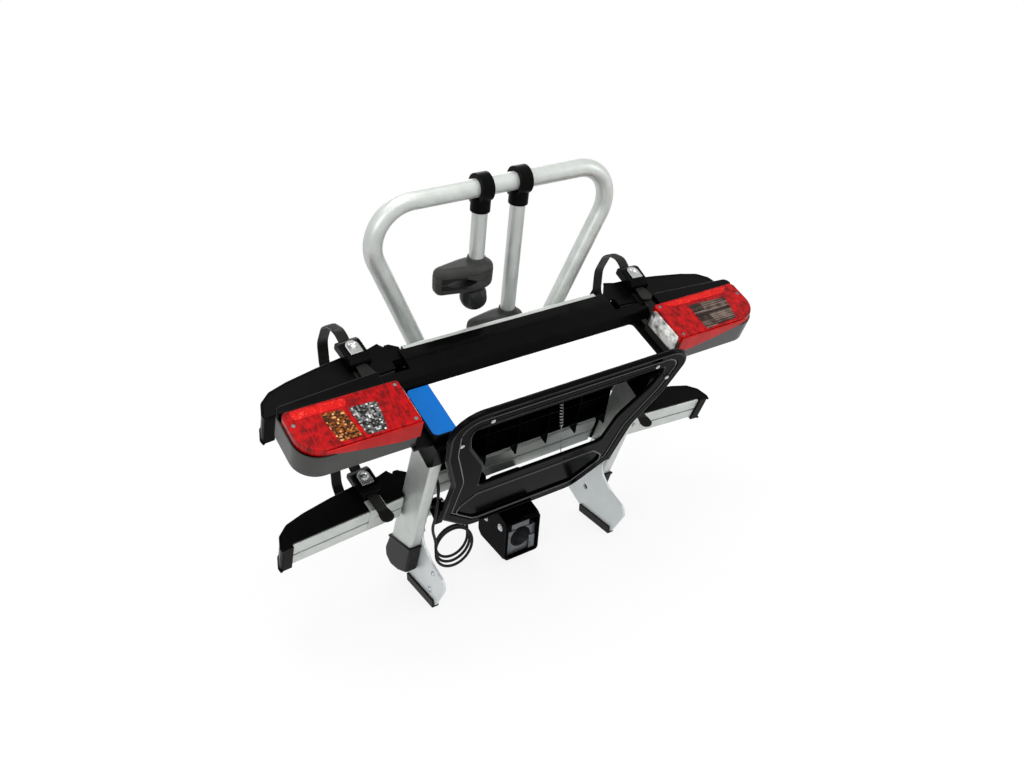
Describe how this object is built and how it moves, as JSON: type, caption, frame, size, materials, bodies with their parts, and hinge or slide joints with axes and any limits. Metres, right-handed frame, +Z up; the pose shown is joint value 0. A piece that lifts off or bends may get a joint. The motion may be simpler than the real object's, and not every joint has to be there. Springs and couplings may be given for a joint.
{
  "type": "hitch bike rack",
  "caption": "Folding tow-ball bike carrier stood on its front end, with fold-out wheel trays, a tube hoop with frame claws, a light board, a blank plate and a foot pedal.",
  "frame": {"origin": "centre of the whole part's footprint, on the ground it stands on", "axes": "+Z up as it stands in storage, +X across the car to the right of someone facing the plate side, -Y towards the number plate and pedal"},
  "size_m": [1.0322, 0.386, 0.8444],
  "materials": {
    "satin_aluminium": "satin",
    "grey_plate": "satin",
    "rubber": "matte",
    "black_plastic": "fine grain",
    "gloss_black": "gloss",
    "soft_black": "matte",
    "grey_plastic": "satin",
    "red_lens": "clear red",
    "reflector": "bright",
    "white_plate": "gloss",
    "steel": "zinc plated",
    "cast_grey": "as cast, coated",
    "strap_plastic": "satin"
  },
  "bodies": {
    "platform": {"board_brackets": "grey_plastic", "centre_bridge": "black_plastic", "fasteners": "steel", "foot_plates": "grey_plate", "foot_rubbers": "rubber", "front_crossbar": "satin_aluminium", "hoop_base": "black_plastic", "lamp_housings": "grey_plastic", "lamp_inserts": "reflector", "lamp_lenses": "red_lens", "lead_drop": "rubber", "lead_fittings": "black_plastic", "lead_loops": "rubber", "lead_tail": "rubber", "light_board": "black_plastic", "number_plate": "white_plate", "pedal_spring": "steel", "plate_holder": "black_plastic", "rail_caps": "rubber", "rail_left": "satin_aluminium", "rail_right": "satin_aluminium", "rear_crossbar": "satin_aluminium", "tray_hinges": "black_plastic"},
    "pedal": {"pedal": "gloss_black"},
    "coupling": {"coupling_housing": "black_plastic", "ball_cup": "cast_grey"},
    "ball_jaw": {"ball_jaw": "cast_grey"},
    "coupling_lever": {"coupling_lever": "black_plastic"},
    "hoop": {"hoop": "satin_aluminium", "hoop_yoke": "black_plastic"},
    "short_arm": {"short_arm_collar": "black_plastic", "short_arm_tube": "satin_aluminium"},
    "short_claw": {"short_claw": "soft_black"},
    "short_claw_jaw": {"short_claw_jaw": "soft_black"},
    "short_claw_knob": {"short_claw_knob": "black_plastic"},
    "long_arm": {"long_arm_collar": "black_plastic", "long_arm_tube": "satin_aluminium"},
    "long_claw": {"long_claw": "soft_black"},
    "long_claw_jaw": {"long_claw_jaw": "soft_black"},
    "long_claw_knob": {"long_claw_knob": "black_plastic"},
    "tray_front_left": {"tray_arm_front_left": "satin_aluminium", "tray_front_left": "black_plastic", "strap_front_left": "strap_plastic", "buckle_front_left": "black_plastic"},
    "button_front_left": {"button_front_left": "steel"},
    "tray_front_right": {"tray_arm_front_right": "satin_aluminium", "tray_front_right": "black_plastic", "strap_front_right": "strap_plastic", "buckle_front_right": "black_plastic"},
    "button_front_right": {"button_front_right": "steel"},
    "tray_rear_left": {"tray_arm_rear_left": "satin_aluminium", "tray_rear_left": "black_plastic", "strap_rear_left": "strap_plastic", "buckle_rear_left": "black_plastic"},
    "button_rear_left": {"button_rear_left": "steel"},
    "tray_rear_right": {"tray_arm_rear_right": "satin_aluminium", "tray_rear_right": "black_plastic", "strap_rear_right": "strap_plastic", "buckle_rear_right": "black_plastic"},
    "button_rear_right": {"button_rear_right": "steel"}
  },
  "joints": [
    {"name": "pedal_press", "type": "hinge", "parent": "platform", "child": "pedal", "pos_m": [0, 0.00435, 0.23217], "axis": [1, 0, 0], "range_deg": [0, 12], "stiffness_Nm_per_rad": 6, "springref_deg": -14.32, "deforming": ["pedal_spring"]},
    {"name": "coupling_tilt", "type": "hinge", "parent": "platform", "child": "coupling", "pos_m": [0, 0.05552, 0.18327], "axis": [1, 0, 0], "range_deg": [-8, 17]},
    {"name": "lever_lift", "type": "hinge", "parent": "coupling", "child": "coupling_lever", "pos_m": [0, 0.12021, 0.1227], "axis": [1, 0, 0], "range_deg": [0, 100.4]},
    {"name": "jaw_release", "type": "slide", "parent": "coupling", "child": "ball_jaw", "axis": [0, -0.1045, 0.9945], "range_m": [0, 0.006]},
    {"name": "hoop_fold", "type": "hinge", "parent": "platform", "child": "hoop", "pos_m": [0, 0.14241, 0.24731], "axis": [-1, 0, 0], "range_deg": [0, 76]},
    {"name": "short_arm_swing", "type": "hinge", "parent": "hoop", "child": "short_arm", "pos_m": [-0.038, 0.08391, 0.81741], "axis": [1, 0, 0], "range_deg": [0, 120]},
    {"name": "short_claw_swivel", "type": "hinge", "parent": "short_arm", "child": "short_claw", "pos_m": [-0.038, 0.10841, 0.66943], "axis": [0, 0.1633, -0.9866], "range_deg": [0, 120]},
    {"name": "short_claw_open", "type": "slide", "parent": "short_claw", "child": "short_claw_jaw", "axis": [0, 0.1633, -0.9866], "range_m": [0, 0.02]},
    {"name": "short_knob_turn", "type": "hinge", "parent": "short_claw_jaw", "child": "short_claw_knob", "pos_m": [-0.038, 0.12065, 0.59544], "axis": [0, 0.1633, -0.9866], "range_deg": [0, 722]},
    {"name": "long_arm_swing", "type": "hinge", "parent": "hoop", "child": "long_arm", "pos_m": [0.046, 0.08391, 0.81741], "axis": [1, 0, 0], "range_deg": [0, 120]},
    {"name": "long_claw_swivel", "type": "hinge", "parent": "long_arm", "child": "long_claw", "pos_m": [0.046, 0.13045, 0.53624], "axis": [0, 0.1633, -0.9866], "range_deg": [0, 120]},
    {"name": "long_claw_open", "type": "slide", "parent": "long_claw", "child": "long_claw_jaw", "axis": [0, 0.1633, -0.9866], "range_m": [0, 0.02]},
    {"name": "long_knob_turn", "type": "hinge", "parent": "long_claw_jaw", "child": "long_claw_knob", "pos_m": [0.046, 0.1427, 0.46225], "axis": [0, 0.1633, -0.9866], "range_deg": [0, 722]},
    {"name": "fold_front_left", "type": "hinge", "parent": "platform", "child": "tray_front_left", "pos_m": [-0.243, 0.10078, 0.24811], "axis": [0, 0.3907, -0.9205], "range_deg": [0, 90]},
    {"name": "release_front_left", "type": "slide", "parent": "tray_front_left", "child": "button_front_left", "axis": [0, 0.3907, -0.9205], "range_m": [0, 0.003], "stiffness_N_per_m": 900, "springref_m": -0.0006},
    {"name": "fold_front_right", "type": "hinge", "parent": "platform", "child": "tray_front_right", "pos_m": [0.243, 0.10078, 0.24811], "axis": [0, -0.3907, 0.9205], "range_deg": [0, 90]},
    {"name": "release_front_right", "type": "slide", "parent": "tray_front_right", "child": "button_front_right", "axis": [0, 0.3907, -0.9205], "range_m": [0, 0.003], "stiffness_N_per_m": 900, "springref_m": -0.0006},
    {"name": "fold_rear_left", "type": "hinge", "parent": "platform", "child": "tray_rear_left", "pos_m": [-0.243, 0.10134, 0.5232], "axis": [0, 0.3907, -0.9205], "range_deg": [0, 90]},
    {"name": "release_rear_left", "type": "slide", "parent": "tray_rear_left", "child": "button_rear_left", "axis": [0, 0.3907, -0.9205], "range_m": [0, 0.003], "stiffness_N_per_m": 900, "springref_m": -0.0006},
    {"name": "fold_rear_right", "type": "hinge", "parent": "platform", "child": "tray_rear_right", "pos_m": [0.243, 0.10134, 0.5232], "axis": [0, -0.3907, 0.9205], "range_deg": [0, 90]},
    {"name": "release_rear_right", "type": "slide", "parent": "tray_rear_right", "child": "button_rear_right", "axis": [0, 0.3907, -0.9205], "range_m": [0, 0.003], "stiffness_N_per_m": 900, "springref_m": -0.0006}
  ],
  "couplings": [
    {"joint": "lever_lift", "follows": "jaw_release", "rad_per_m": 290.89},
    {"joint": "short_knob_turn", "follows": "short_claw_open", "rad_per_m": 628.32},
    {"joint": "long_knob_turn", "follows": "long_claw_open", "rad_per_m": 628.32}
  ]
}
